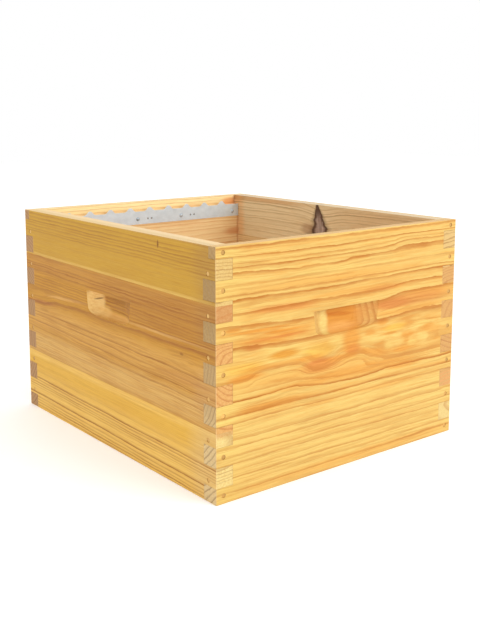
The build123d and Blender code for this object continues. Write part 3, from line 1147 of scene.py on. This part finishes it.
def flat_head(diameter, thickness, ease):
    """Half outline of a flat head with an eased rim, as pairs of radius and height."""
    radius = diameter / 2
    return [(radius, 0.0), (radius, thickness - ease), (radius - ease, thickness), (0.0, thickness)]


def round_head(diameter, height):
    """Half outline of a domed head."""
    turns = [math.pi / 2 * i / NAIL_DOME_STEPS for i in range(NAIL_DOME_STEPS)]
    return [(diameter / 2 * math.cos(turn), height * math.sin(turn)) for turn in turns] + [(0.0, height)]


@dataclass
class NailKind:
    """Shank and head of a nail, the axis along which its kind stand in a row, and their material's slot,
    which is not used.
    """

    shank: float
    head: list
    row: int
    slot: str


# Wire nails at the corners and round-headed nails on the strips
WIRE_NAIL = NailKind(
    shank=2.8 * MM, head=flat_head(diameter=5.9 * MM, thickness=1.2 * MM, ease=0.3 * MM),
    row=Z_AXIS, slot="wire_nail_steel",
)
REST_NAIL = NailKind(
    shank=2.4 * MM, head=round_head(diameter=6.4 * MM, height=1.8 * MM),
    row=X_AXIS, slot="rest_nail_steel",
)


def turned_ring(mesh, place, radius, height):
    """Points of one ring of a turned nail, or the single point on its axis."""
    if radius == 0.0:
        return [mesh.verts.new(place @ Vector((0, 0, height)))]
    ring = []
    for i in range(NAIL_SEGMENTS):
        turn = 2 * math.pi * i / NAIL_SEGMENTS
        spot = Vector((radius * math.cos(turn), radius * math.sin(turn), height))
        ring.append(mesh.verts.new(place @ spot))
    return ring


def turned_faces(mesh, lower, upper):
    """Faces between two neighbouring rings of a turned nail."""
    for i in range(NAIL_SEGMENTS):
        j = (i + 1) % NAIL_SEGMENTS
        if len(lower) == 1:
            mesh.faces.new((lower[0], upper[j], upper[i]))
        elif len(upper) == 1:
            mesh.faces.new((lower[i], lower[j], upper[0]))
        else:
            mesh.faces.new((lower[i], lower[j], upper[j], upper[i]))


def turned_nails(node, kind, out, material):
    """One mesh of turned nails instead of a node's flat-sided ones, their heads towards out."""
    boxes = nail_boxes(node, kind.row)
    head_height = kind.head[-1][1]
    length = max(high - low for low, high in zip(*boxes[0])) - head_height
    stem = [(0.0, -length), (kind.shank / 2, -length + NAIL_POINT), (kind.shank / 2, 0.0)]
    mesh = bmesh.new()
    for box in boxes:
        place = nail_place(box, out, head_height)
        rings = [turned_ring(mesh, place, radius, height) for radius, height in stem + kind.head]
        for lower, upper in zip(rings, rings[1:]):
            turned_faces(mesh, lower, upper)
    bmesh.ops.recalc_face_normals(mesh, faces=mesh.faces)
    name = f"{node}_round"
    data = bpy.data.meshes.new(name)
    mesh.to_mesh(data)
    mesh.free()
    data.materials.append(material)
    piece = bpy.data.objects.new(name, data)
    bpy.context.scene.collection.objects.link(piece)
    for face in data.polygons:
        face.use_smooth = True
    data.set_sharp_from_angle(angle=math.radians(NAIL_SMOOTH_ANGLE))
    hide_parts(node)
    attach(piece, "root")


def nail_boxes(node, axis):
    """Lowest and highest corner of each nail in a node, told apart along one axis."""
    corners = sorted((v.co.copy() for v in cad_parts[node].data.vertices), key=lambda c: c[axis])
    groups = [[corners[0]]]
    for before, corner in zip(corners, corners[1:]):
        if corner[axis] - before[axis] > NAIL_SPACING_LEAST:
            groups.append([])
        groups[-1].append(corner)
    return [[Vector(pick(values) for values in zip(*group)) for pick in (min, max)] for group in groups]


def nail_place(box, out, head):
    """Matrix that sets a nail along a box, its head towards out and its top at the box's outer end."""
    low, high = box
    top = (low + high + (high - low) * Vector(out)) / 2
    turn = Vector(out).to_track_quat("Z", "Y").to_matrix().to_4x4()
    return Matrix.Translation(top) @ turn @ Matrix.Translation((0, 0, -head))


def nails():
    """All the nails, with the finish of each kind."""
    end_steel = nail_steel("end_nail_steel", rgb(178, 136, 72), rgb(228, 176, 96), metallic=0.5)
    # The side nails are paler than the end nails: a painted reflection of the bright surroundings
    side_steel = nail_steel("side_nail_steel", rgb(196, 150, 82), rgb(222, 180, 106), metallic=0.5)
    rest_steel = nail_steel("rest_nail_steel", rgb(150, 162, 170), rgb(200, 210, 216), metallic=0.8)
    for end, y_sign in (("front", -1), ("back", 1)):
        for side, x_sign in (("left", -1), ("right", 1)):
            turned_nails(f"{end}_{side}_end_nails", WIRE_NAIL, (0, y_sign, 0), end_steel)
            turned_nails(f"{end}_{side}_side_nails", WIRE_NAIL, (x_sign, 0, 0), side_steel)
        turned_nails(f"{end}_frame_rest_nails", REST_NAIL, (0, -y_sign, 0), rest_steel)


def camera(scene):
    """Camera at the photo's viewing angle."""
    viewer = bpy.data.objects.new("camera", bpy.data.cameras.new("camera"))
    scene.collection.objects.link(viewer)
    viewer.location = CAMERA_PLACE
    viewer.rotation_euler = (math.radians(90 - CAMERA_PITCH), 0, math.radians(CAMERA_HEADING))
    viewer.data.lens = CAMERA_LENS
    viewer.data.sensor_width = CAMERA_SENSOR
    viewer.data.shift_y = CAMERA_SHIFT_UP
    scene.camera = viewer


def lights(scene):
    """White surroundings and one broad, soft key light."""
    world = bpy.data.worlds.new("white_surroundings")
    world.use_nodes = True
    background = world.node_tree.nodes["Background"]
    background.inputs["Color"].default_value = WHITE
    background.inputs["Strength"].default_value = WORLD_STRENGTH
    scene.world = world
    key = bpy.data.lights.new("key_light", "AREA")
    key.size = KEY_SIZE
    key.energy = KEY_POWER
    lamp = bpy.data.objects.new("key_light", key)
    scene.collection.objects.link(lamp)
    lamp.location = KEY_PLACE
    lamp.rotation_euler = (Vector(KEY_TARGET) - Vector(KEY_PLACE)).to_track_quat("-Z", "Y").to_euler()


def floor(scene):
    """Plain pale floor just under the box."""
    signs = ((-1, -1), (1, -1), (1, 1), (-1, 1))
    corners = [(x_sign * FLOOR_HALF, y_sign * FLOOR_HALF, -FLOOR_DROP) for x_sign, y_sign in signs]
    data = bpy.data.meshes.new("floor")
    data.from_pydata(corners, [], [(0, 1, 2, 3)])
    ground = bpy.data.objects.new("floor", data)
    scene.collection.objects.link(ground)
    data.materials.append(Paint("pale_floor").finish(FLOOR_COLOUR, FLOOR_ROUGHNESS, glow=FLOOR_GLOW))


rings_rng = random.Random(RING_SEED)
boards = {**end_boards(rings_rng), **left_boards(), **right_boards(rings_rng)}
for node, board in boards.items():
    dress(node, Pine(f"pine_{node}", board).finished())
strip = galvanised()
for node in ("front_frame_rest", "back_frame_rest"):
    dress(node, strip, ease=STRIP_EASE)
nails()

scene = bpy.context.scene
scene.view_settings.view_transform = "Standard"
camera(scene)
lights(scene)
floor(scene)
